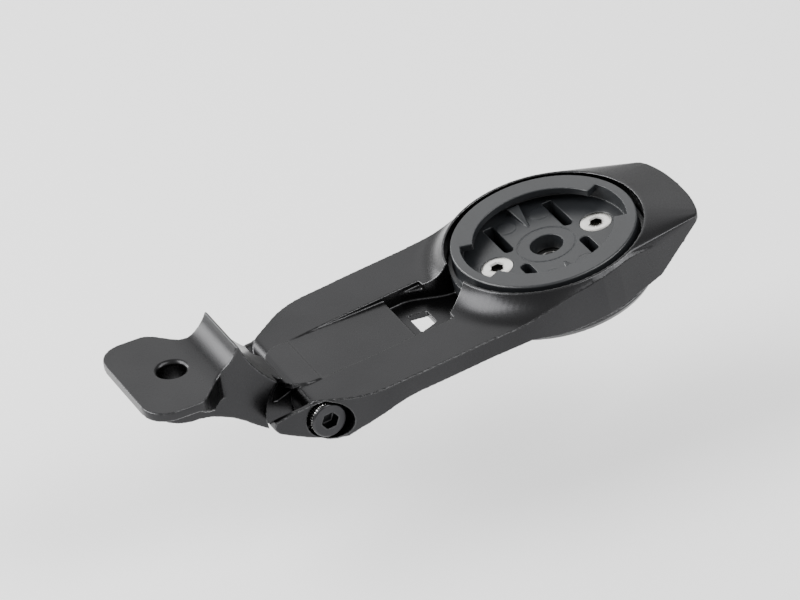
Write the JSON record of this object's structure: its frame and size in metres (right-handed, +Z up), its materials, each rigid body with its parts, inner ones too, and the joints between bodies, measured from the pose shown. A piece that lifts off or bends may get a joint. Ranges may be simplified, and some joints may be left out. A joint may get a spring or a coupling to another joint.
{
  "type": "cycling computer mount",
  "caption": "Out-front mount for a cycling computer: bolt-on bracket, hinged arm and quarter-turn cradle in a round head.",
  "frame": {"origin": "centre of the fixing hole on the bracket's seat face", "axes": "+Z up along the fixing hole, +X forward along the bicycle, +Y to the rider's left"},
  "size_m": [0.1162, 0.041, 0.0221],
  "materials": {
    "alloy_black": "black anodised, fine satin",
    "nylon_black": "moulded",
    "steel_black": "black oxide",
    "plastic_black": "moulded satin, dark grey",
    "steel_bright": "bright stainless"
  },
  "bodies": {
    "bracket": {"bracket": "alloy_black", "near_washer": "nylon_black", "far_washer": "nylon_black"},
    "arm": {"arm": "alloy_black", "pivot_bolt": "steel_black", "pivot_nut": "steel_black", "cradle": "plastic_black", "rear_screw": "steel_bright", "front_screw": "steel_bright", "accessory_nut": "steel_bright", "under_plate": "alloy_black"}
  },
  "joints": [
    {"name": "arm_hinge", "type": "hinge", "parent": "bracket", "child": "arm", "pos_m": [0.024, 0, -0.0128], "axis": [0, 1, 0], "range_deg": [-8, 20]}
  ]
}
